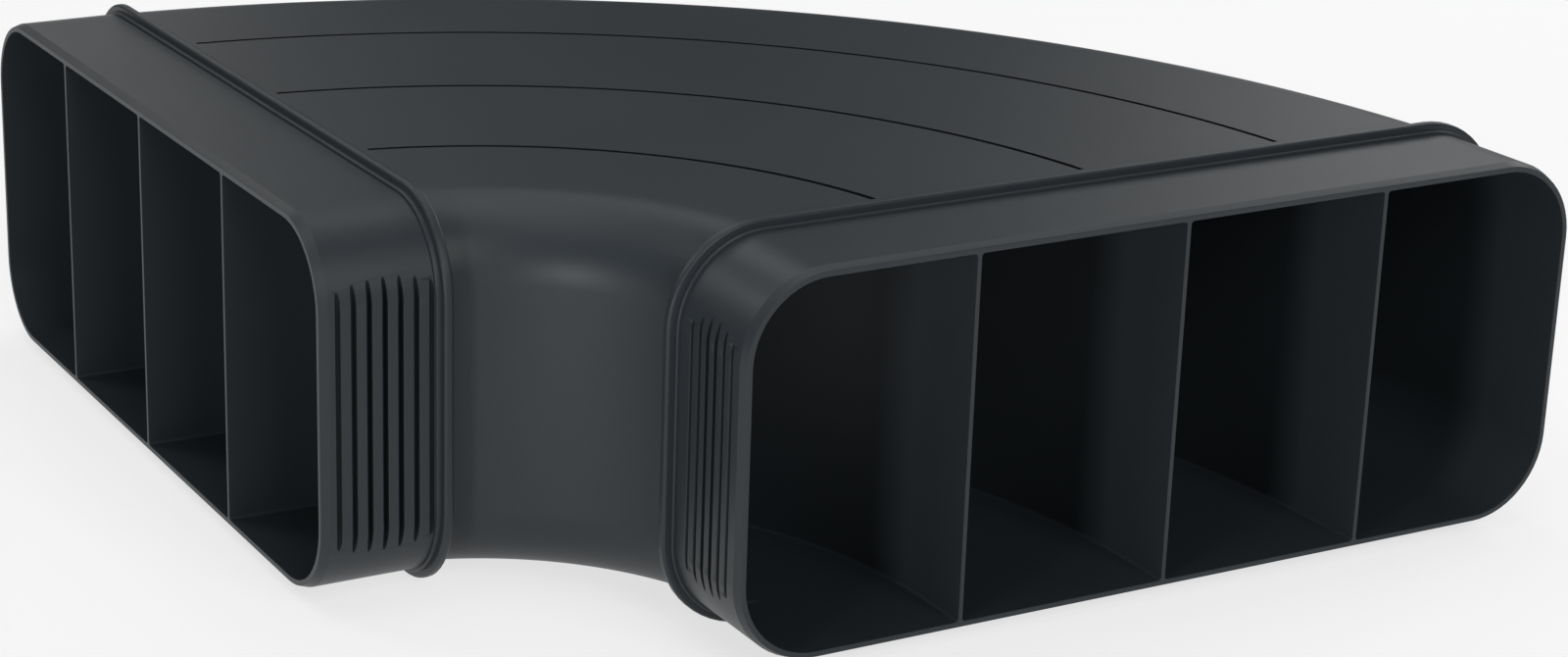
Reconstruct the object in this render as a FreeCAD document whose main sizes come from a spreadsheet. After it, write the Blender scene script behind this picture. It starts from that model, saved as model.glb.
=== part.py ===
# Flat duct elbow: a ninety degree bend of flat channel with guide vanes, moulded as one piece.
# Lengths are in millimetres. The bend turns about the Z axis of the body.
# One leg leaves along -Y from the XZ plane, the other along -X from the YZ plane.
import math
import os

import FreeCAD
import Part
import Sketcher

doc = FreeCAD.newDocument("flat_duct_elbow")

# Every size of the elbow, as a plain number with a name
SIZES = {
    "spigot_width": 222.0,
    "spigot_height": 89.0,
    "wall": 2.0,
    "spigot_corner": 20.0,
    "spigot_length": 28.7,
    "spigot_inside": 53.0,
    "rim_reach": 14.0,
    "rim_chamfer": 0.7,
    "rim_chamfer_length": 2.2,
    "ring_height": 2.5,
    "ring_width": 2.4,
    "ring_bevel": 0.6,
    "bead_height": 0.8,
    "bead_width": 1.2,
    "bend_inside": 60.0,
    "bend_corner": 18.0,
    "vane_thickness": 1.1,
    "vane_middle": 164.5,
    "vane_pitch": 54.6,
    "vane_root": 0.8,
    "line_width": 1.2,
    "line_depth": 1.0,
    "line_reach": 23.5,
    "grip_width": 1.25,
    "front_grip_first": 5.6,
    "front_grip_pitch": 3.43,
    "front_grip_depth": 1.2,
    "front_grip_crown": 0.1,
    "side_grip_first": 4.3,
    "side_grip_pitch": 3.75,
    "side_grip_depth": 1.5,
    "side_grip_crown": 0.05,
}
# The angle of the bend, in degrees
QUARTER_TURN = 90.0

sheet = doc.addObject("Spreadsheet::Sheet", "sizes")
for row, (alias, number) in enumerate(SIZES.items(), start=1):
    sheet.set("A%d" % row, alias)
    sheet.set("B%d" % row, str(number))
    sheet.setAlias("B%d" % row, alias)
doc.recompute()


class Size:
    """A number together with the expression that gives it from the sheet."""

    def __init__(self, value, text):
        self.value = value
        self.text = text

    def __add__(self, other):
        other = as_size(other)
        return Size(self.value + other.value, "(%s + %s)" % (self.text, other.text))

    def __sub__(self, other):
        other = as_size(other)
        return Size(self.value - other.value, "(%s - %s)" % (self.text, other.text))

    def __mul__(self, other):
        other = as_size(other)
        return Size(self.value * other.value, "(%s * %s)" % (self.text, other.text))

    def __truediv__(self, other):
        other = as_size(other)
        return Size(self.value / other.value, "(%s / %s)" % (self.text, other.text))

    def __neg__(self):
        return Size(-self.value, "(0 - %s)" % self.text)


def as_size(thing):
    """Take a plain number as a size that does not change."""
    if isinstance(thing, Size):
        return thing
    return Size(float(thing), repr(float(thing)))


def cell(alias):
    """The size held in a cell of the sheet."""
    return Size(SIZES[alias], "sizes." + alias)


body = doc.addObject("PartDesign::Body", "duct_elbow")
body.Label = "duct_elbow"


def origin_plane(role):
    """The body's own origin plane with this role."""
    for feature in body.Origin.OriginFeatures:
        if feature.Role == role:
            return feature
    raise RuntimeError("no origin plane " + role)


def new_sketch(name, role, offset=None):
    """A sketch flat on an origin plane, moved along the plane's normal by an offset."""
    sketch = body.newObject("Sketcher::SketchObject", name)
    sketch.AttachmentSupport = [(origin_plane(role), "")]
    sketch.MapMode = "FlatFace"
    if offset is not None:
        sketch.AttachmentOffset = FreeCAD.Placement(FreeCAD.Vector(0, 0, offset.value), FreeCAD.Rotation())
        sketch.setExpression("AttachmentOffset.Base.z", offset.text)
    return sketch


def pin(sketch, geo, point, x, y):
    """Hold one point of a sketch at a place given by two sizes."""
    for kind, size in (("DistanceX", x), ("DistanceY", y)):
        if size.value >= 0:
            index = sketch.addConstraint(Sketcher.Constraint(kind, -1, 1, geo, point, size.value))
            text = size.text
        else:
            index = sketch.addConstraint(Sketcher.Constraint(kind, geo, point, -1, 1, -size.value))
            text = (-size).text
        sketch.setExpression("Constraints[%d]" % index, text)


def add_polygon(sketch, corners):
    """A closed outline of straight lines through corners that are pinned."""
    first = sketch.GeometryCount
    count = len(corners)
    for here, there in zip(corners, corners[1:] + corners[:1]):
        start = FreeCAD.Vector(here[0].value, here[1].value, 0)
        end = FreeCAD.Vector(there[0].value, there[1].value, 0)
        sketch.addGeometry(Part.LineSegment(start, end), False)
    for step in range(count):
        following = first + (step + 1) % count
        sketch.addConstraint(Sketcher.Constraint("Coincident", first + step, 2, following, 1))
    for step, (x, y) in enumerate(corners):
        pin(sketch, first + step, 1, x, y)


def add_rounded(sketch, left, right, half, left_round, right_round):
    """A rounded rectangle, level with the sketch's X axis, with its own rounds left and right."""
    first = sketch.GeometryCount
    top = half
    bottom = -half
    top_line = ((left + left_round, top), (right - right_round, top))
    right_line = ((right, half - right_round), (right, -(half - right_round)))
    bottom_line = ((right - right_round, bottom), (left + left_round, bottom))
    left_line = ((left, -(half - left_round)), (left, half - left_round))
    lines = (top_line, right_line, bottom_line, left_line)
    for start, end in lines:
        here = FreeCAD.Vector(start[0].value, start[1].value, 0)
        there = FreeCAD.Vector(end[0].value, end[1].value, 0)
        sketch.addGeometry(Part.LineSegment(here, there), False)
    for step, (start, end) in enumerate(lines):
        pin(sketch, first + step, 1, start[0], start[1])
        pin(sketch, first + step, 2, end[0], end[1])
    quarter = math.pi / 2
    rounds = (
        (right - right_round, half - right_round, right_round, 0, 1, 0),
        (right - right_round, -(half - right_round), right_round, 3, 2, 1),
        (left + left_round, -(half - left_round), left_round, 2, 3, 2),
        (left + left_round, half - left_round, left_round, 1, 0, 3),
    )
    for step, (x, y, size, turn, starts_at, ends_at) in enumerate(rounds):
        centre = FreeCAD.Vector(x.value, y.value, 0)
        circle = Part.Circle(centre, FreeCAD.Vector(0, 0, 1), size.value)
        geo = sketch.addGeometry(Part.ArcOfCircle(circle, turn * quarter, (turn + 1) * quarter), False)
        sketch.addConstraint(Sketcher.Constraint("Tangent", geo, 1, first + starts_at, 1))
        sketch.addConstraint(Sketcher.Constraint("Coincident", geo, 2, first + ends_at, 2))


volumes = [0.0]


def finish_feature(feature, grows):
    """Make a feature the body's tip and check that it is whole and adds or takes material as meant."""
    before = volumes[-1]
    body.Tip = feature
    doc.recompute()
    if feature.Shape.isNull() or not feature.Shape.isValid():
        raise RuntimeError(feature.Name + " is not a valid shape")
    after = feature.Shape.Volume
    volumes.append(after)
    if grows != (after > before):
        raise RuntimeError(feature.Name + " works the wrong way round")
    print(feature.Name, round(before), round(after))
    return feature


def pad(name, sketch, reach, reverse=False, taper=None):
    """Raise a sketch by a length, with sides that may lean in."""
    feature = body.newObject("PartDesign::Pad", name)
    feature.Profile = sketch
    feature.Length = reach.value
    feature.setExpression("Length", reach.text)
    feature.Reversed = reverse
    if taper is not None:
        feature.setExpression("TaperAngle", taper)
    return finish_feature(feature, True)


def pocket(name, sketch, reach=None, reverse=False):
    """Cut a sketch to a depth, or right through both ways where no depth is given."""
    feature = body.newObject("PartDesign::Pocket", name)
    feature.Profile = sketch
    if reach is None:
        feature.SideType = "Symmetric"
        feature.Type = "ThroughAll"
    else:
        feature.Length = reach.value
        feature.setExpression("Length", reach.text)
    feature.Reversed = reverse
    return finish_feature(feature, False)


def turn(kind, name, sketch, grows):
    """Sweep a sketch a quarter turn about the bend's axis."""
    feature = body.newObject("PartDesign::" + kind, name)
    feature.Profile = sketch
    feature.ReferenceAxis = (sketch, ["V_Axis"])
    feature.Angle = QUARTER_TURN
    return finish_feature(feature, grows)


# Places that several features share
half_height = cell("spigot_height") / 2
inside = cell("spigot_inside")
outside = inside + cell("spigot_width")
bore_inside = inside + cell("wall")
bore_outside = outside - cell("wall")
bore_half = half_height - cell("wall")
bore_round = cell("spigot_corner") - cell("wall")
ring_front = cell("spigot_length") - cell("rim_reach")
vane_places = (
    cell("vane_middle") - cell("vane_pitch"),
    cell("vane_middle"),
    cell("vane_middle") + cell("vane_pitch"),
)
# Each leg: name, origin plane of its sketches, and the sign of the plane's normal along the leg
LEGS = (("front", "XZ_Plane", 1), ("side", "YZ_Plane", -1))

# The bend: a rounded section swept a quarter turn
bend_sketch = new_sketch("bend_section", "XZ_Plane")
add_rounded(bend_sketch, cell("bend_inside"), outside, half_height, cell("bend_corner"), cell("spigot_corner"))
bend = turn("Revolution", "bend", bend_sketch, True)
if bend.Shape.BoundBox.YMax < inside.value:
    raise RuntimeError("the bend turns the wrong way")

# Hairlines along the top, one above each vane, that stop short of the rings
for number, place in enumerate(vane_places, start=1):
    sketch = new_sketch("hairline_section_%d" % number, "XZ_Plane")
    sketch.AttachmentOffset = FreeCAD.Placement(
        FreeCAD.Vector(0, 0, 0), FreeCAD.Rotation(FreeCAD.Vector(0, 1, 0), QUARTER_TURN / 2)
    )
    half_line = cell("line_width") / 2
    floor = half_height - cell("line_depth")
    above = half_height + cell("line_depth")
    add_polygon(sketch, [
        (place - half_line, floor),
        (place + half_line, floor),
        (place + half_line, above),
        (place - half_line, above),
    ])
    groove = body.newObject("PartDesign::Groove", "hairline_%d" % number)
    groove.Profile = sketch
    groove.ReferenceAxis = (sketch, ["V_Axis"])
    groove.Midplane = True
    groove.setExpression("Angle", "%s deg - 2 * asin(sizes.line_reach / %s)" % (QUARTER_TURN, place.text))
    finish_feature(groove, False)

# The bend ends at the rings, so what lies in front of them goes
trim_sketch = new_sketch("trim_outline", "XY_Plane")
near = cell("bend_inside") / 2
far = outside + cell("spigot_corner")
behind = -cell("wall")
add_polygon(trim_sketch, [(near, behind), (far, behind), (far, ring_front), (near, ring_front)])
add_polygon(trim_sketch, [(behind, near), (ring_front, near), (ring_front, far), (behind, far)])
pocket("trim", trim_sketch)

# Spigots, rings and the small beads at the foot of the rings
for leg, plane, sign in LEGS:
    def along(distance):
        """Offset of a sketch plane that lies this far from the rim, towards the bend."""
        from_bend = cell("rim_reach") - distance
        return from_bend if sign > 0 else -from_bend

    lead = cell("rim_chamfer_length")
    corner = cell("spigot_corner")
    inwards = sign > 0

    sketch = new_sketch(leg + "_spigot_section", plane, along(lead))
    add_rounded(sketch, inside, outside, half_height, corner, corner)
    reach = cell("spigot_length") - lead + cell("ring_width")
    pad(leg + "_spigot", sketch, reach, inwards)

    sketch = new_sketch(leg + "_rim_section", plane, along(lead))
    add_rounded(sketch, inside, outside, half_height, corner, corner)
    lean = "0 deg - atan(sizes.rim_chamfer / sizes.rim_chamfer_length)"
    pad(leg + "_rim", sketch, lead, not inwards, lean)

    rise = cell("ring_height")
    sketch = new_sketch(leg + "_ring_section", plane, along(cell("spigot_length")))
    add_rounded(sketch, inside - rise, outside + rise, half_height + rise, corner + rise, corner + rise)
    pad(leg + "_ring", sketch, cell("ring_width"), inwards)

    rise = cell("bead_height")
    sketch = new_sketch(leg + "_bead_section", plane, along(cell("spigot_length") - cell("bead_width")))
    add_rounded(sketch, inside - rise, outside + rise, half_height + rise, corner + rise, corner + rise)
    pad(leg + "_bead", sketch, cell("bead_width"), inwards)


def beyond_spigot(across, up):
    """How far a point of a leg's cross-section lies outside the spigot's outline."""
    middle = (inside.value + outside.value) / 2
    corner = SIZES["spigot_corner"]
    dx = abs(across - middle) - (SIZES["spigot_width"] / 2 - corner)
    dz = abs(up) - (half_height.value - corner)
    return math.hypot(max(dx, 0.0), max(dz, 0.0)) + min(max(dx, dz), 0.0) - corner


def ring_edges(shape):
    """Names of the edges round the outside of both rings."""
    names = []
    slack = 0.05
    for number, edge in enumerate(shape.Edges, start=1):
        middle = edge.valueAt((edge.FirstParameter + edge.LastParameter) / 2)
        box = edge.BoundBox
        for along_leg, across, thin in ((middle.y, middle.x, box.YLength), (middle.x, middle.y, box.XLength)):
            back = ring_front.value + SIZES["ring_width"]
            on_face = min(abs(along_leg - ring_front.value), abs(along_leg - back)) < slack
            high = abs(beyond_spigot(across, middle.z) - SIZES["ring_height"]) < slack
            if thin < slack and on_face and high:
                names.append("Edge%d" % number)
    return names


last_pad = body.Tip
bevels = body.newObject("PartDesign::Chamfer", "ring_bevels")
bevels.Base = (last_pad, ring_edges(last_pad.Shape))
bevels.Size = SIZES["ring_bevel"]
bevels.setExpression("Size", "sizes.ring_bevel")
finish_feature(bevels, False)

# The hollow: straight in each spigot, on as far as the ring along the inner wall, and swept through the bend
bore_lap = vane_places[0]
for leg, plane, sign in LEGS:
    offset = cell("rim_reach") if sign > 0 else -cell("rim_reach")
    sketch = new_sketch(leg + "_bore_section", plane, offset)
    add_rounded(sketch, bore_inside, bore_outside, bore_half, bore_round, bore_round)
    pocket(leg + "_bore", sketch, cell("rim_reach"), sign < 0)
    sketch = new_sketch(leg + "_inner_bore_section", plane)
    add_rounded(sketch, bore_inside, bore_lap, bore_half, bore_round, cell("wall"))
    pocket(leg + "_inner_bore", sketch, ring_front, sign < 0)

sketch = new_sketch("bend_bore_section", "XZ_Plane")
bend_bore_inside = cell("bend_inside") + cell("wall")
bend_bore_round = cell("bend_corner") - cell("wall")
add_rounded(sketch, bend_bore_inside, bore_outside, bore_half, bend_bore_round, bore_round)
turn("Groove", "bend_bore", sketch, False)


def add_vanes(sketch):
    """The outlines of the three vanes in a cross-section, with their roots in the walls."""
    half_vane = cell("vane_thickness") / 2
    root = bore_half + cell("vane_root")
    for place in vane_places:
        add_polygon(sketch, [
            (place - half_vane, -root),
            (place + half_vane, -root),
            (place + half_vane, root),
            (place - half_vane, root),
        ])


# Guide vanes: swept through the bend and straight on to both rims
sketch = new_sketch("vane_section", "XZ_Plane")
add_vanes(sketch)
turn("Revolution", "bend_vanes", sketch, True)
for leg, plane, sign in LEGS:
    sketch = new_sketch(leg + "_vane_section", plane)
    add_vanes(sketch)
    pad(leg + "_vanes", sketch, cell("rim_reach"), sign < 0)

# Grip grooves across the narrow walls of both spigots, deepest in the middle of the row.
# Each step counts pitches from the middle: six grooves on the front spigot, seven on the side one.
GRIP_STEPS = {"front": (-2.5, -1.5, -0.5, 0.5, 1.5, 2.5), "side": (-3, -2, -1, 0, 1, 2, 3)}
for leg, plane, sign in LEGS:
    steps = GRIP_STEPS[leg]
    first = cell(leg + "_grip_first")
    pitch = cell(leg + "_grip_pitch")
    deepest = cell(leg + "_grip_depth")
    crown = cell(leg + "_grip_crown")
    for wall_name, surface, inward in (("inner", inside, 1), ("outer", outside, -1)):
        sketch = new_sketch("%s_%s_grip_outline" % (leg, wall_name), "XY_Plane")
        half_grip = cell("grip_width") / 2
        for step in steps:
            place = first - cell("rim_reach") + pitch * (step - steps[0])
            depth = deepest * (as_size(1) - crown * (step * step))
            floor = surface + depth * inward
            clear = surface - deepest * inward
            outline = [
                (clear, place - half_grip),
                (surface, place - half_grip),
                (floor, place),
                (surface, place + half_grip),
                (clear, place + half_grip),
            ]
            if sign < 0:
                outline = [(y, x) for x, y in outline]
            add_polygon(sketch, outline)
        pocket("%s_%s_grip" % (leg, wall_name), sketch)

# Stand the elbow with the middle of its box over the origin and its rings on the floor
reach_out = outside + cell("ring_height") - cell("rim_reach")
shift = -(reach_out / 2)
lift = half_height + cell("ring_height")
body.Placement = FreeCAD.Placement(FreeCAD.Vector(shift.value, shift.value, lift.value), FreeCAD.Rotation())
body.setExpression("Placement.Base.x", shift.text)
body.setExpression("Placement.Base.y", shift.text)
body.setExpression("Placement.Base.z", lift.text)
doc.recompute()

# Nothing is written unless every object came out whole
for thing in doc.Objects:
    if "Invalid" in thing.State or "Error" in thing.State:
        raise RuntimeError(thing.Name + " did not compute: " + str(thing.State))
if body.Shape.isNull() or not body.Shape.isValid():
    raise RuntimeError("the elbow is not a valid shape")
if len(body.Shape.Solids) != 1:
    raise RuntimeError("the elbow is not one solid")

os.makedirs("parts", exist_ok=True)
body.Shape.exportStep("parts/" + body.Label + ".step")
print("elbow", body.Shape.BoundBox, "volume", round(body.Shape.Volume), "faces", len(body.Shape.Faces))
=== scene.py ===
# %% [markdown]
# # A flat duct elbow in moulded plastic
# The object is a ninety degree bend for flat ventilation channel. It is one moulding: two rounded
# spigots, a stop ring behind each, the swept bend between them and three guide vanes inside.
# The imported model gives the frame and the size. Everything here is in metres, in the same frame.

# %% Load the frame
import math

import bmesh
import bpy
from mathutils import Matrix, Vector


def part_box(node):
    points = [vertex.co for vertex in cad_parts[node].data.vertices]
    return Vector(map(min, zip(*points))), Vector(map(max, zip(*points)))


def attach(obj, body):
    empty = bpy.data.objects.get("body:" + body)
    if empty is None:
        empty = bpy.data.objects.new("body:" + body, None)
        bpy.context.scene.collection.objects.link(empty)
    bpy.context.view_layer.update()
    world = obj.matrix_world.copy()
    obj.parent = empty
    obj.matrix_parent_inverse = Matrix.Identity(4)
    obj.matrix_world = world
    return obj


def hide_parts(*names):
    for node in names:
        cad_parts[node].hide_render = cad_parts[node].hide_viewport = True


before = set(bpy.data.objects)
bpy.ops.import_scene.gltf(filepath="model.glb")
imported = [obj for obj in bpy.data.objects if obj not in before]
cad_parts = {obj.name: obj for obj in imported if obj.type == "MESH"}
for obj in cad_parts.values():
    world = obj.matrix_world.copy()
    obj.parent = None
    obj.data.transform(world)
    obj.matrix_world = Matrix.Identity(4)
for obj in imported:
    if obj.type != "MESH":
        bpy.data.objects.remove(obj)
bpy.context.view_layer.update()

PRINT_DIGITS = 5


def rounded(corners):
    """The corners of a box, short enough to print."""
    return [[round(value, PRINT_DIGITS) for value in corner] for corner in corners]


# %% [markdown]
# ## Sizes
# A moulder works from one drawing, so the sizes come first and every step below reads them.
# The bend turns about an upright axis. The front leg leaves it along -Y, the side leg along -X,
# and "across" is the distance from that axis, measured over the width of a leg.

# %% Sizes of the moulding
MM = 0.001
QUARTER = math.pi / 2
SPIGOT_INSIDE = 53.0 * MM
SPIGOT_WIDTH = 222.0 * MM
SPIGOT_HEIGHT = 89.0 * MM
SPIGOT_CORNER = 20.0 * MM
SPIGOT_LENGTH = 28.7 * MM
RIM_REACH = 14.0 * MM
WALL = 2.0 * MM
SPIGOT_OUTSIDE = SPIGOT_INSIDE + SPIGOT_WIDTH
SPIGOT_MIDDLE = (SPIGOT_INSIDE + SPIGOT_OUTSIDE) / 2
HALF_HEIGHT = SPIGOT_HEIGHT / 2
# The ways from the front rim and from the side rim into the bend
FRONT_WAY = Vector((0.0, 1.0, 0.0))
SIDE_WAY = Vector((1.0, 0.0, 0.0))

low, high = (Vector(corner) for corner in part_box("duct_elbow"))
AXIS = Vector((low.x + RIM_REACH, low.y + RIM_REACH, (low.z + high.z) / 2))
print("bend axis at", rounded([AXIS]))

# %% [markdown]
# ## Picking and cutting by place
# By hand one would click on edges. In a script the same choice is made by where a vertex lies.
# Cutting tools are solids of their own: they are modelled, used once with a Boolean modifier and
# thrown away, much as a core is pulled out of the mould.

# %% Helpers for picking
SAME_PLACE = 0.002 * MM


def deselect():
    """Leave object mode clean, because an operator acts on all that is selected."""
    if bpy.context.mode != "OBJECT":
        bpy.ops.object.mode_set(mode="OBJECT")
    bpy.ops.object.select_all(action="DESELECT")


def activate(piece):
    """Select one piece alone and make it the active one."""
    deselect()
    piece.select_set(True)
    bpy.context.view_layer.objects.active = piece


def edit(piece):
    """Go into edit mode on one piece, with nothing picked."""
    activate(piece)
    bpy.ops.object.mode_set(mode="EDIT")
    bpy.ops.mesh.select_mode(type="VERT")
    bpy.ops.mesh.select_all(action="DESELECT")


def edit_all(piece):
    """Go into edit mode on one piece, with all of it picked."""
    edit(piece)
    bpy.ops.mesh.select_all(action="SELECT")


def pick(piece, test):
    """Pick the vertices whose place passes a test, with the edges and faces between them."""
    bpy.ops.mesh.select_all(action="DESELECT")
    mesh = bmesh.from_edit_mesh(piece.data)
    for vertex in mesh.verts:
        vertex.select = test(vertex.co)
    mesh.select_flush(True)
    bmesh.update_edit_mesh(piece.data)


print("vertices within", round(SAME_PLACE / MM, PRINT_DIGITS), "mm count as one place")

# %% Helpers for joining and cutting
def close_up(piece):
    """Weld doubles, fill open ends and turn all faces outwards."""
    edit_all(piece)
    bpy.ops.mesh.remove_doubles(threshold=SAME_PLACE)
    bpy.ops.mesh.select_all(action="DESELECT")
    bpy.ops.mesh.select_non_manifold()
    bpy.ops.mesh.fill_holes(sides=0)
    bpy.ops.mesh.select_all(action="SELECT")
    bpy.ops.mesh.normals_make_consistent(inside=False)
    deselect()


def join(pieces):
    """Make several pieces one object and leave it active."""
    deselect()
    for piece in pieces:
        piece.select_set(True)
    bpy.context.view_layer.objects.active = pieces[0]
    bpy.ops.object.join()
    return bpy.context.object


def combine(piece, tool, operation):
    """Add a tool's solid to a piece, or cut it away, and remove the tool."""
    activate(piece)
    modifier = piece.modifiers.new("combine", "BOOLEAN")
    modifier.operation = operation
    modifier.solver = "EXACT"
    modifier.object = tool
    bpy.ops.object.modifier_apply(modifier=modifier.name)
    bpy.data.objects.remove(tool, do_unlink=True)


def apply_place():
    """Put the selected piece's place, turn and scale into its mesh."""
    bpy.ops.object.transform_apply(location=True, rotation=True, scale=True)


print("pieces are cut with exact Booleans")

# %% Helpers for measuring
# Where Blender keeps the lowest and the highest corner in an object's box
LOW_CORNER = 0
HIGH_CORNER = 6


def open_edges(piece):
    """Count the edges that don't have a face on each side."""
    mesh = bmesh.new()
    mesh.from_mesh(piece.data)
    count = sum(1 for edge in mesh.edges if not edge.is_manifold)
    mesh.free()
    return count


def tell(title, piece):
    """Print a piece's faces, its open edges and its box."""
    corners = [piece.bound_box[which] for which in (LOW_CORNER, HIGH_CORNER)]
    print(title, len(piece.data.polygons), "faces,", open_edges(piece), "open edges, box", rounded(corners))


print("helpers ready")

# %% [markdown]
# ## The outline of a cross-section
# Every part of the duct has a cross-section that is a rectangle with rounded corners. A plane with
# its corner vertices beveled gives exactly that, with true arcs, so it is the one seed for the
# spigots, the rings, the bend and the channels.

# %% Rounded outline
ROUND_STEPS = 14
# A round below this size gets fewer steps, so that its edges stay longer than the soft edge of the rim
SMALL_ROUND = 2.0 * MM
SMALL_STEPS = 4


def plane(name, middle, turn, scale):
    """A flat rectangle with its place, turn and scale in its mesh."""
    deselect()
    bpy.ops.mesh.primitive_plane_add(size=1.0, location=middle, rotation=turn)
    piece = bpy.context.object
    piece.name = name
    piece.scale = scale
    apply_place()
    return piece


def outline(name, left, right, half, left_round, right_round, along=0.0):
    """A rounded rectangle across the front leg, at a distance along the leg from the bend's start."""
    middle = AXIS + Vector(((left + right) / 2, along, 0.0))
    piece = plane(name, middle, (QUARTER, 0.0, 0.0), (right - left, 2 * half, 1.0))
    edit(piece)
    for side, size in ((-1.0, left_round), (1.0, right_round)):
        if size > 0:
            pick(piece, lambda place: (place.x - middle.x) * side > 0)
            steps = SMALL_STEPS if size < SMALL_ROUND else ROUND_STEPS
            bpy.ops.mesh.bevel(affect="VERTICES", offset=size, segments=steps, clamp_overlap=False)
    deselect()
    return piece


print("outlines have", ROUND_STEPS, "steps a corner, or", SMALL_STEPS, "where it is small")

# %% [markdown]
# ## The leg
# A leg runs from the rim to the back of the stop ring: a lead-in at the rim, the plain spigot, a
# small bead and the ring with its rounded edge. It could be extruded and scaled step by step, but
# scaling a rounded rectangle changes its corners. Instead each station gets an outline of its own,
# grown by the same amount all round, and bridges join one to the next.

# %% Stations of the leg
RIM_CHAMFER = 0.7 * MM
RIM_CHAMFER_LENGTH = 2.2 * MM
BEAD_HEIGHT = 0.8 * MM
BEAD_WIDTH = 1.2 * MM
BEAD_ROUND = 0.35 * MM
RING_HEIGHT = 2.5 * MM
RING_WIDTH = 2.4 * MM
RING_ROUND = 0.75 * MM
ARC_STEPS = 4
# Keeps two stations apart where the wall turns square
HAIR = 0.01 * MM


def arc(step, size):
    """How far along a rounded edge a step lies, and how far below its top."""
    turn = step / ARC_STEPS * QUARTER
    return size * (1 - math.cos(turn)), size * (1 - math.sin(turn))


bead_start = SPIGOT_LENGTH - BEAD_WIDTH
# Distance from the rim, and how much the outline is grown there
stations = [(0.0, -RIM_CHAMFER), (RIM_CHAMFER_LENGTH, 0.0), (bead_start - HAIR, 0.0)]
for step in range(ARC_STEPS + 1):
    along, drop = arc(step, BEAD_ROUND)
    stations.append((bead_start + along + HAIR * step / ARC_STEPS, BEAD_HEIGHT - drop))
stations.append((SPIGOT_LENGTH - HAIR, BEAD_HEIGHT))
for step in range(ARC_STEPS + 1):
    along, drop = arc(step, RING_ROUND)
    stations.append((SPIGOT_LENGTH + along, RING_HEIGHT - drop))
for step in range(ARC_STEPS, -1, -1):
    along, drop = arc(step, RING_ROUND)
    stations.append((SPIGOT_LENGTH + RING_WIDTH - along, RING_HEIGHT - drop))
print(len(stations), "stations from rim to ring")

# %% Bridge the stations into a leg
loops = []
for number, (from_rim, grow) in enumerate(stations):
    loop = outline(
        "station_%d" % number, SPIGOT_INSIDE - grow, SPIGOT_OUTSIDE + grow, HALF_HEIGHT + grow,
        SPIGOT_CORNER + grow, SPIGOT_CORNER + grow, from_rim - RIM_REACH,
    )
    edit_all(loop)
    bpy.ops.mesh.delete(type="ONLY_FACE")
    loops.append(loop)
leg = join(loops)
leg.name = "plain_leg"
edit(leg)
for (here, _), (there, _) in zip(stations, stations[1:]):
    ends = [AXIS.y - RIM_REACH + place for place in (here, there)]
    pick(leg, lambda place: min(abs(place.y - end) for end in ends) < SAME_PLACE)
    bpy.ops.mesh.bridge_edge_loops()
close_up(leg)
tell("leg:", leg)

# %% [markdown]
# ## Grip grooves
# The narrow walls of a spigot carry a row of upright grooves: six on the front spigot, seven on the
# side one. They have steep flanks and a narrow floor, are deepest in the middle of the row, and run
# out to a point by themselves where the corner curves away. A wedge is extruded and narrowed in
# steps, each to its own depth, and a row of them is joined and cut from a copy of the plain leg.

# %% One wedge
GRIP_CLEAR = 0.6 * MM
# Share of the depth, and half the width of the groove there
GRIP_SECTION = (
    (0.0, 0.78 * MM),
    (0.06, 0.66 * MM),
    (0.4, 0.58 * MM),
    (0.8, 0.42 * MM),
    (1.0, 0.14 * MM),
)


def wedge(name, place, depth):
    """A cutter for one groove in the inner narrow wall of the front leg, at a distance along the leg."""
    lip = GRIP_SECTION[0][1]
    start = AXIS + Vector((SPIGOT_INSIDE - GRIP_CLEAR, place, 0.0))
    piece = plane(name, start, (0.0, QUARTER, 0.0), (SPIGOT_HEIGHT, 2 * lip, 1.0))
    edit_all(piece)
    at, width = -GRIP_CLEAR, lip
    for share, half_width in GRIP_SECTION:
        move = (share * depth - at, 0.0, 0.0)
        bpy.ops.mesh.extrude_region_move(TRANSFORM_OT_translate={"value": move})
        bpy.ops.transform.resize(value=(1.0, half_width / width, 1.0), center_override=start)
        at, width = share * depth, half_width
    close_up(piece)
    return piece


print("groove section has", len(GRIP_SECTION), "steps")

# %% A row of wedges
def wedge_row(first, pitch, steps, depth, crown):
    """Wedges side by side along the inner wall; a step counts pitches from the middle of the row."""
    wedges = []
    for step in steps:
        place = first - RIM_REACH + (step - steps[0]) * pitch
        wedges.append(wedge("wedge_%d" % len(wedges), place, depth * (1 - crown * step * step)))
    return join(wedges)


def grooved(name, first, pitch, steps, depth, crown):
    """A copy of the plain leg with a row of grooves in both narrow walls."""
    activate(leg)
    bpy.ops.object.duplicate()
    piece = bpy.context.object
    piece.name = name
    row_middle = AXIS + Vector((SPIGOT_MIDDLE, first - RIM_REACH - steps[0] * pitch, 0.0))
    for outer in (False, True):
        row = wedge_row(first, pitch, steps, depth, crown)
        if outer:
            bpy.ops.transform.rotate(value=math.pi, orient_axis="Z", center_override=row_middle)
            apply_place()
        combine(piece, row, "DIFFERENCE")
    tell(name, piece)
    return piece


print("rows are cut into copies of", leg.name)

# %% Groove both legs
# Distance of the first groove from the rim, pitch, steps, depth and how much the row is crowned
FRONT_GRIP = (5.6 * MM, 3.43 * MM, (-2.5, -1.5, -0.5, 0.5, 1.5, 2.5), 1.2 * MM, 0.1)
SIDE_GRIP = (4.3 * MM, 3.75 * MM, (-3, -2, -1, 0, 1, 2, 3), 1.5 * MM, 0.05)

front_leg = grooved("front_leg", *FRONT_GRIP)
side_leg = grooved("side_leg", *SIDE_GRIP)
bpy.data.objects.remove(leg, do_unlink=True)

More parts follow.
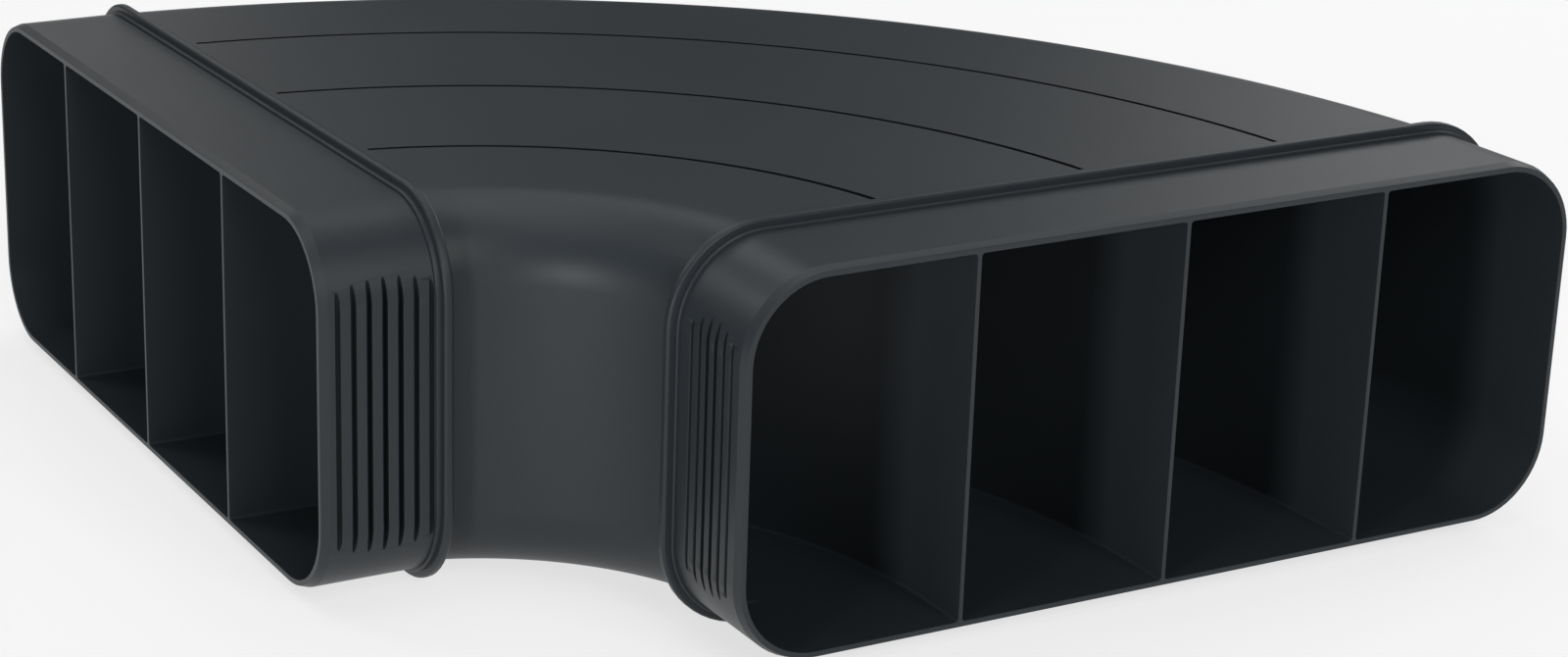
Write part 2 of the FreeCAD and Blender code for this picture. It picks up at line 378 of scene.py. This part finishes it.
# %% [markdown]
# ## The bend
# The bend is the same kind of outline, a little narrower on its inner side, spun a quarter turn about
# the axis. Spinning keeps the flat top truly flat and the walls truly round. Its ends are cut off
# inside the stop rings, where the legs take over.

# %% Spin the bend
SWEEP_STEPS = 90
BEND_INSIDE = 60.0 * MM
BEND_CORNER = 18.0 * MM
RING_FRONT = SPIGOT_LENGTH - RIM_REACH


def sweep(piece, steps=SWEEP_STEPS):
    """Spin an outline a quarter turn, from the front leg round to the side leg."""
    edit_all(piece)
    bpy.ops.mesh.spin(steps=steps, angle=-QUARTER, center=AXIS, axis=(0.0, 0.0, 1.0))
    close_up(piece)


def cut_ends(piece, front, side):
    """Cut away what lies nearer to the start of a leg than that leg's distance, and cap the ends."""
    edit(piece)
    for way, distance in ((FRONT_WAY, front), (SIDE_WAY, side)):
        bpy.ops.mesh.select_all(action="SELECT")
        bpy.ops.mesh.bisect(plane_co=AXIS + way * distance, plane_no=way, use_fill=True, clear_inner=True)
    close_up(piece)


bend = outline("bend", BEND_INSIDE, SPIGOT_OUTSIDE, HALF_HEIGHT, BEND_CORNER, SPIGOT_CORNER)
sweep(bend)
cut_ends(bend, RING_FRONT + RING_WIDTH / 2, RING_FRONT + RING_WIDTH / 2)
tell("bend:", bend)

# %% Add both legs
activate(side_leg)
# With no window, a positive angle turns clockwise here, seen from above
legs_centre = AXIS + Vector((SPIGOT_MIDDLE, SPIGOT_MIDDLE, 0.0))
bpy.ops.transform.rotate(value=QUARTER, orient_axis="Z", center_override=legs_centre)
apply_place()
tell("turned side leg:", side_leg)
moulding = bend
moulding.name = "elbow_moulding"
combine(moulding, front_leg, "UNION")
combine(moulding, side_leg, "UNION")
tell("outside:", moulding)

# %% [markdown]
# ## The four channels
# Three vanes divide the hollow into four channels. In the mould these are four cores side by side,
# and the vanes are what is left between them. So the channels are modelled as the cores: an outline
# each, spun round the bend and drawn straight out of both ends. Small rounds in their corners leave
# the fillets at the roots of the vanes.

# %% Draw the cores and cut them out
VANE_MIDDLE = 164.5 * MM
VANE_PITCH = 54.6 * MM
VANE_HALF = 0.55 * MM
VANE_ROOT = 0.8 * MM
PULL = 4.0 * MM
BORE_HALF = HALF_HEIGHT - WALL


def core(name, left, right, left_round, right_round):
    """A channel's solid, from beyond the front rim round the bend to beyond the side rim."""
    piece = outline(name, left, right, BORE_HALF, left_round, right_round)
    sweep(piece)
    edit(piece)
    for way in (FRONT_WAY, SIDE_WAY):
        pick(piece, lambda place: abs((place - AXIS).dot(way)) < SAME_PLACE)
        bpy.ops.mesh.extrude_region_move(TRANSFORM_OT_translate={"value": -way * (RIM_REACH + PULL)})
    close_up(piece)
    return piece


vanes = [VANE_MIDDLE + step * VANE_PITCH for step in (-1, 0, 1)]
CORES = (
    ("core_1", BEND_INSIDE + WALL, vanes[0] - VANE_HALF, BEND_CORNER - WALL, VANE_ROOT),
    ("core_2", vanes[0] + VANE_HALF, vanes[1] - VANE_HALF, VANE_ROOT, VANE_ROOT),
    ("core_3", vanes[1] + VANE_HALF, vanes[2] - VANE_HALF, VANE_ROOT, VANE_ROOT),
    ("core_4", vanes[2] + VANE_HALF, SPIGOT_OUTSIDE - WALL, VANE_ROOT, SPIGOT_CORNER - WALL),
)
for name, left, right, left_round, right_round in CORES:
    piece = core(name, left, right, left_round, right_round)
    tell(name, piece)
    combine(moulding, piece, "DIFFERENCE")
tell("hollowed:", moulding)

# %% Widen the first channel inside the spigots
WIDEN_REACH = 36.0 * MM
bore_inside = SPIGOT_INSIDE + WALL
bore_corner = SPIGOT_CORNER - WALL
pull_out = (0.0, -(SPIGOT_LENGTH + PULL), 0.0)

for turned in (False, True):
    reach = bore_inside + WIDEN_REACH
    piece = outline("spigot_core", bore_inside, reach, BORE_HALF, bore_corner, 0.0, RING_FRONT)
    edit_all(piece)
    bpy.ops.mesh.extrude_region_move(TRANSFORM_OT_translate={"value": pull_out})
    close_up(piece)
    if turned:
        edit_all(piece)
        bpy.ops.transform.mirror(constraint_axis=(True, False, False), center_override=AXIS)
        bpy.ops.transform.rotate(value=QUARTER, orient_axis="Z", center_override=AXIS)
        close_up(piece)
    tell("spigot core:", piece)
    combine(moulding, piece, "DIFFERENCE")
tell("bored:", moulding)

# %% [markdown]
# ## Hairlines on top
# Above each vane the top shows a fine line that stops short of the rings. Paint would look right only
# from one side, so they are cut: a thin section spun along the vane and trimmed at both ends.

# %% Cut the hairlines
LINE_WIDTH = 1.45 * MM
LINE_DEPTH = 1.0 * MM
LINE_FRONT_REACH = 24.3 * MM
LINE_SIDE_REACH = 21.7 * MM
# Not the bend's own number of steps, so that no edges of the two fall together
LINE_STEPS = 77

for number, across in enumerate(vanes, start=1):
    left, right = across - LINE_WIDTH / 2, across + LINE_WIDTH / 2
    line = outline("hairline_%d" % number, left, right, LINE_DEPTH, 0.0, 0.0)
    edit_all(line)
    bpy.ops.transform.translate(value=(0.0, 0.0, HALF_HEIGHT))
    sweep(line, LINE_STEPS)
    cut_ends(line, LINE_FRONT_REACH, LINE_SIDE_REACH)
    combine(moulding, line, "DIFFERENCE")
tell("lined:", moulding)

# %% [markdown]
# ## Soft edges at the rims
# No moulded edge is razor sharp. The rims and the ends of the vanes catch a thin line of light, so
# the edges in the two rim planes get a small bevel. Where the lead-in meets the plain spigot the real
# edge is crisp, so it is marked sharp and keeps its line when the rest is shaded smooth. Normals
# weighted by area then let the large flats look flat beside their small rounds.

# %% Bevel the rim edges
RIM_SOFT = 0.22 * MM
SOFT_STEPS = 2
# Corners nearer than this become one, because a hair of an edge between them leaves the bevel no room
RIM_NEAR = 0.03 * MM

lead_in = RIM_REACH - RIM_CHAMFER_LENGTH
for way in (FRONT_WAY, SIDE_WAY):
    edit(moulding)
    pick(moulding, lambda place: abs((place - AXIS).dot(way) + RIM_REACH) < SAME_PLACE)
    bpy.ops.mesh.remove_doubles(threshold=RIM_NEAR)
    bpy.ops.mesh.bevel(affect="EDGES", offset=RIM_SOFT, segments=SOFT_STEPS, clamp_overlap=True)
    pick(moulding, lambda place: abs((place - AXIS).dot(way) + lead_in) < SAME_PLACE)
    bpy.ops.mesh.mark_sharp()
close_up(moulding)
tell("softened:", moulding)

# %% Shade the moulding and give it to the frame
SMOOTH_ANGLE = math.radians(32.0)

activate(moulding)
bpy.ops.object.shade_smooth_by_angle(angle=SMOOTH_ANGLE)
flats = moulding.modifiers.new("flats", "WEIGHTED_NORMAL")
flats.keep_sharp = True
bpy.ops.object.modifier_apply(modifier=flats.name)
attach(moulding, "root")
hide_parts("duct_elbow")
tell("moulding:", moulding)

# %% [markdown]
# ## Anthracite plastic
# The real part is a dark grey thermoplastic with a fine satin grain from the mould. A group makes the
# grain and a faint cloudiness from noise in object coordinates, and the material uses it for bump,
# tone and gloss.

# %% Grain group
GRAIN_DETAIL = 3.0
CLOUD_DETAIL = 2.0


def build_grain_group():
    """Fine mould grain and faint clouds, from a position on the object."""
    group = bpy.data.node_groups.new("mould_grain", "ShaderNodeTree")
    group.interface.new_socket("Position", in_out="INPUT", socket_type="NodeSocketVector")
    group.interface.new_socket("Grain Scale", in_out="INPUT", socket_type="NodeSocketFloat")
    group.interface.new_socket("Cloud Scale", in_out="INPUT", socket_type="NodeSocketFloat")
    group.interface.new_socket("Grain", in_out="OUTPUT", socket_type="NodeSocketFloat")
    group.interface.new_socket("Clouds", in_out="OUTPUT", socket_type="NodeSocketFloat")
    nodes, links = group.nodes, group.links
    entry = nodes.new("NodeGroupInput")
    leave = nodes.new("NodeGroupOutput")
    noises = (("Grain", "Grain Scale", GRAIN_DETAIL), ("Clouds", "Cloud Scale", CLOUD_DETAIL))
    for output, scale, detail in noises:
        noise = nodes.new("ShaderNodeTexNoise")
        noise.inputs["Detail"].default_value = detail
        links.new(entry.outputs["Position"], noise.inputs["Vector"])
        links.new(entry.outputs[scale], noise.inputs["Scale"])
        links.new(noise.outputs["Fac"], leave.inputs[output])
    return group


grain_group = build_grain_group()
print("group:", grain_group.name)

# %% Grained plastic
GRAIN_SCALE = 2600.0
CLOUD_SCALE = 18.0
GRAIN_DEPTH = 0.03 * MM


def build_plastic(name, dark, light, gloss_low, gloss_high, specular):
    """Grained plastic between two tones, with its roughness following the same clouds."""
    plastic = bpy.data.materials.new(name)
    plastic.use_nodes = True
    nodes, links = plastic.node_tree.nodes, plastic.node_tree.links
    shader = nodes["Principled BSDF"]
    shader.inputs["Specular IOR Level"].default_value = specular
    place = nodes.new("ShaderNodeTexCoord")
    grain = nodes.new("ShaderNodeGroup")
    grain.node_tree = grain_group
    grain.inputs["Grain Scale"].default_value = GRAIN_SCALE
    grain.inputs["Cloud Scale"].default_value = CLOUD_SCALE
    links.new(place.outputs["Object"], grain.inputs["Position"])
    tone = nodes.new("ShaderNodeMix")
    tone.data_type = "RGBA"
    tone.inputs["A"].default_value = dark
    tone.inputs["B"].default_value = light
    links.new(grain.outputs["Clouds"], tone.inputs["Factor"])
    links.new(tone.outputs["Result"], shader.inputs["Base Color"])
    gloss = nodes.new("ShaderNodeMapRange")
    gloss.inputs["To Min"].default_value = gloss_low
    gloss.inputs["To Max"].default_value = gloss_high
    links.new(grain.outputs["Clouds"], gloss.inputs["Value"])
    links.new(gloss.outputs["Result"], shader.inputs["Roughness"])
    bump = nodes.new("ShaderNodeBump")
    bump.inputs["Distance"].default_value = GRAIN_DEPTH
    links.new(grain.outputs["Grain"], bump.inputs["Height"])
    links.new(bump.outputs["Normal"], shader.inputs["Normal"])
    return plastic


print("grain:", round(GRAIN_DEPTH / MM, PRINT_DIGITS), "mm deep")

# %% Materials of the moulding
# Dark tone, light tone, lowest and highest roughness, specular level
SATIN = ((0.0205, 0.0255, 0.03, 1.0), (0.025, 0.031, 0.0362, 1.0), 0.4, 0.46, 0.3)
# Painted shade: the second look is nearly black and stands in for the shadow in the grooves and hairlines
PAINTED_SHADE = ((0.005, 0.006, 0.007, 1.0), (0.007, 0.008, 0.009, 1.0), 0.6, 0.7, 0.15)

moulding.data.materials.clear()
for name, look in (("anthracite_plastic", SATIN), ("painted_shade_plastic", PAINTED_SHADE)):
    moulding.data.materials.append(build_plastic(name, *look))
print("materials:", [material.name for material in moulding.data.materials])

# %% [markdown]
# ## Painted shade in the recesses
# The grooves and the hairlines get painted shade: a nearly black, rougher plastic stands in for the
# shadow inside them. The faces that lie below the plain surface are picked by their depth and take
# the second material.

# %% Tests for a recess
# Depths below the narrow walls between which a face belongs to a groove
RECESS_FROM = 0.2 * MM
RECESS_TO = 1.7 * MM
# Depth below the top from which a face belongs to a hairline, and the play allowed around one
LINE_FROM = 0.02 * MM
LINE_SPARE = 0.05 * MM


def corner_drop(height):
    """How far the rounded corner of a spigot falls back at a height above the middle."""
    over = max(abs(height) - (HALF_HEIGHT - SPIGOT_CORNER), 0.0)
    return SPIGOT_CORNER - math.sqrt(max(SPIGOT_CORNER ** 2 - over ** 2, 0.0))


def in_groove(place):
    """Whether a place lies below a spigot's narrow wall, between the lead-in and the bead."""
    local = place - AXIS
    for across, along in ((local.x, local.y), (local.y, local.x)):
        if not RIM_CHAMFER_LENGTH < along + RIM_REACH < bead_start:
            continue
        if corner_drop(local.z) > RECESS_TO:
            continue
        for wall_depth in (across - SPIGOT_INSIDE, SPIGOT_OUTSIDE - across):
            if RECESS_FROM < wall_depth - corner_drop(local.z) < RECESS_TO:
                return True
    return False


def in_hairline(place):
    """Whether a place lies below the top, in the track of a vane."""
    local = place - AXIS
    if min(local.x, local.y) < LINE_SIDE_REACH - LINE_SPARE:
        return False
    if not LINE_FROM < HALF_HEIGHT - local.z < LINE_DEPTH + LINE_SPARE:
        return False
    track = math.hypot(local.x, local.y)
    return min(abs(track - vane) for vane in vanes) < LINE_WIDTH / 2 + LINE_SPARE


print("grooves count from", round(RECESS_FROM / MM, PRINT_DIGITS), "mm deep")

# %% Pick the recesses by depth
PAINTED_SHADE_SLOT = 1

edit(moulding)
bpy.ops.mesh.select_mode(type="FACE")
mesh = bmesh.from_edit_mesh(moulding.data)
picked = 0
for face in mesh.faces:
    centre = face.calc_center_median()
    face.select = in_groove(centre) or in_hairline(centre)
    picked += face.select
bmesh.update_edit_mesh(moulding.data)
# The picked faces take the painted shade, a nearly black material in place of the shadow in the recesses
moulding.active_material_index = PAINTED_SHADE_SLOT
bpy.ops.object.material_slot_assign()
deselect()
print("recess faces:", picked)

# %% [markdown]
# ## Floor and light
# In a studio the part would lie on white and be lit from large soft boxes. The floor shows itself to
# the camera as nearly white and still takes the shadow.

# %% Floor
FLOOR_SIZE = 12.0
FLOOR_WHITE = (0.95, 0.95, 0.95, 1.0)
FLOOR_ROUGHNESS = 1.0

deselect()
bpy.ops.mesh.primitive_plane_add(size=FLOOR_SIZE, location=(0.0, 0.0, 0.0))
floor = bpy.context.object
floor.name = "floor"
paper = bpy.data.materials.new("white_floor")
paper.use_nodes = True
nodes, links = paper.node_tree.nodes, paper.node_tree.links
matt = nodes["Principled BSDF"]
matt.inputs["Base Color"].default_value = FLOOR_WHITE
matt.inputs["Roughness"].default_value = FLOOR_ROUGHNESS
floor.data.materials.append(paper)
print("floor:", FLOOR_SIZE, "m")

# %% White floor for the camera and reflections
FLOOR_GLOW = 0.7

glow = nodes.new("ShaderNodeEmission")
ray = nodes.new("ShaderNodeLightPath")
seen = ray.outputs["Is Camera Ray"]
for kind in ("Is Glossy Ray", "Is Transmission Ray"):
    either = nodes.new("ShaderNodeMath")
    either.operation = "MAXIMUM"
    links.new(seen, either.inputs[0])
    links.new(ray.outputs[kind], either.inputs[1])
    seen = either.outputs["Value"]
share = nodes.new("ShaderNodeMath")
share.operation = "MULTIPLY"
share.inputs[1].default_value = FLOOR_GLOW
links.new(seen, share.inputs[0])
mix = nodes.new("ShaderNodeMixShader")
links.new(share.outputs["Value"], mix.inputs["Fac"])
links.new(matt.outputs["BSDF"], mix.inputs[1])
links.new(glow.outputs["Emission"], mix.inputs[2])
links.new(mix.outputs["Shader"], nodes["Material Output"].inputs["Surface"])
print("floor glow:", FLOOR_GLOW)

# %% World
AMBIENT = 0.05
AMBIENT_WHITE = (1.0, 1.0, 1.0, 1.0)

world = bpy.data.worlds.new("studio")
bpy.context.scene.world = world
world.use_nodes = True
sky = world.node_tree.nodes["Background"]
sky.inputs["Color"].default_value = AMBIENT_WHITE
sky.inputs["Strength"].default_value = AMBIENT
print("ambient:", AMBIENT)

# %% Soft boxes
BOX_DISTANCE = 1.5
# Name, compass angle from +Y towards +X, height angle, size and power in watts
BOXES = (
    ("front_box", -178.0, 31.0, 0.9, 10.0),
    ("right_box", 80.0, 30.0, 0.5, 4.4),
    ("back_right_box", 54.0, 27.0, 0.5, 1.8),
    ("back_box", 5.0, 38.0, 0.5, 1.4),
    ("back_low_box", 8.0, 8.0, 0.4, 0.45),
    ("back_left_box", -40.0, 35.0, 0.5, 3.2),
    ("high_box", 30.0, 60.0, 0.8, 1.9),
    ("high_left_box", -110.0, 65.0, 0.8, 2.8),
    ("left_box", -121.0, 6.0, 0.25, 6.5),
    ("top_box", 0.0, 85.0, 0.8, 4.0),
)
for name, compass, height, size, power in BOXES:
    lamp = bpy.data.lights.new(name, "AREA")
    lamp.shape = "SQUARE"
    lamp.size = size
    lamp.energy = power
    box = bpy.data.objects.new(name, lamp)
    turn, rise = math.radians(compass), math.radians(height)
    way = Vector((math.sin(turn) * math.cos(rise), math.cos(turn) * math.cos(rise), math.sin(rise)))
    box.location = Vector((0.0, 0.0, AXIS.z)) + BOX_DISTANCE * way
    box.rotation_euler = way.to_track_quat("Z", "Y").to_euler()
    bpy.context.scene.collection.objects.link(box)
print(len(BOXES), "soft boxes")

# %% [markdown]
# ## Camera
# The camera looks into the corner between the two legs, from nineteen degrees above the floor and
# through a long lens. The photograph is a crop, so the lens is shifted.

# %% Camera
IMAGE_WIDTH = 1600.0
FOCAL_PIXELS = 3415.1
CENTRE_COLUMN = 500.0
SENSOR = 36.0
EYE = (-0.4106, -0.7089, 0.3051)
AZIMUTH = math.radians(-25.88)
ELEVATION = math.radians(19.0)
ROLL = math.radians(0.29)

camera_data = bpy.data.cameras.new("camera")
camera_data.sensor_fit = "HORIZONTAL"
camera_data.sensor_width = SENSOR
camera_data.lens = FOCAL_PIXELS / IMAGE_WIDTH * SENSOR
camera_data.shift_x = (IMAGE_WIDTH / 2 - CENTRE_COLUMN) / IMAGE_WIDTH
camera = bpy.data.objects.new("camera", camera_data)
camera.location = EYE
back = Vector((
    math.sin(AZIMUTH) * math.cos(ELEVATION),
    -math.cos(AZIMUTH) * math.cos(ELEVATION),
    math.sin(ELEVATION),
))
aim = back.to_track_quat("Z", "Y").to_matrix().to_4x4()
camera.rotation_euler = aim.to_euler()
camera.rotation_euler.rotate_axis("Z", ROLL)
bpy.context.scene.collection.objects.link(camera)
bpy.context.scene.camera = camera
bpy.context.scene.view_settings.view_transform = "Standard"
print("lens:", round(camera_data.lens, PRINT_DIGITS), "mm, shift", round(camera_data.shift_x, PRINT_DIGITS))
